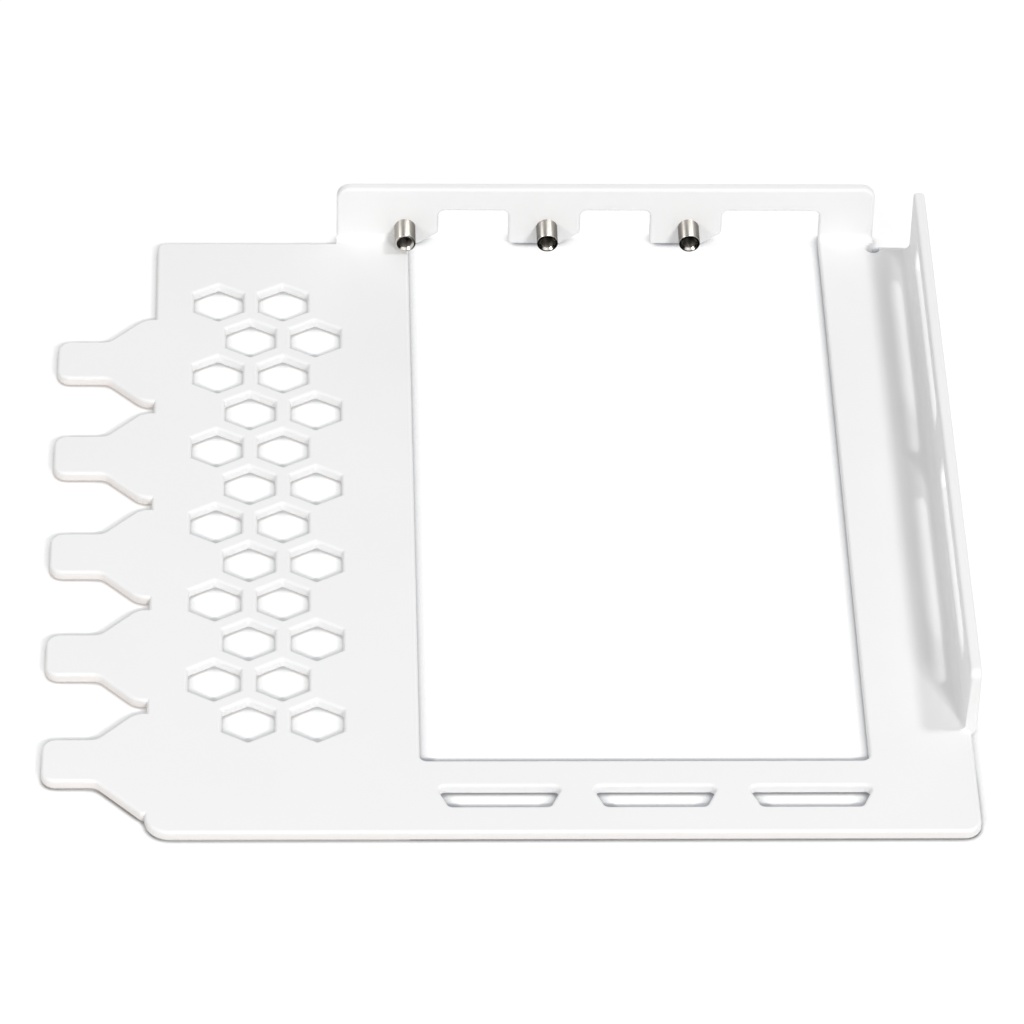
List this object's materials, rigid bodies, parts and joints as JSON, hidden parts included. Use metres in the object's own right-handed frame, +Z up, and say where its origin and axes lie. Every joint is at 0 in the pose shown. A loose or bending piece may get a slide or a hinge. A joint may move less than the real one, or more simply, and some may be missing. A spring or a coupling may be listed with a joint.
{
  "type": "vertical gpu mount",
  "caption": "Folded sheet bracket that replaces a case's slot covers to hold a graphics card upright: tongues, hexagon vents, card window, slotted case flange, threaded standoffs.",
  "frame": {"origin": "under the middle of the overall box, on the underside of the plate", "axes": "+Z up from the plate towards the flanges' free edges, +X from the tongues to the slotted case flange, +Y from the card slots to the card flange"},
  "size_m": [0.123, 0.1236, 0.0118],
  "materials": {
    "white_coat": "satin",
    "nickel": "polished"
  },
  "bodies": {
    "root": {"bracket": "white_coat", "standoff_left": "nickel", "standoff_middle": "nickel", "standoff_right": "nickel"}
  },
  "joints": []
}
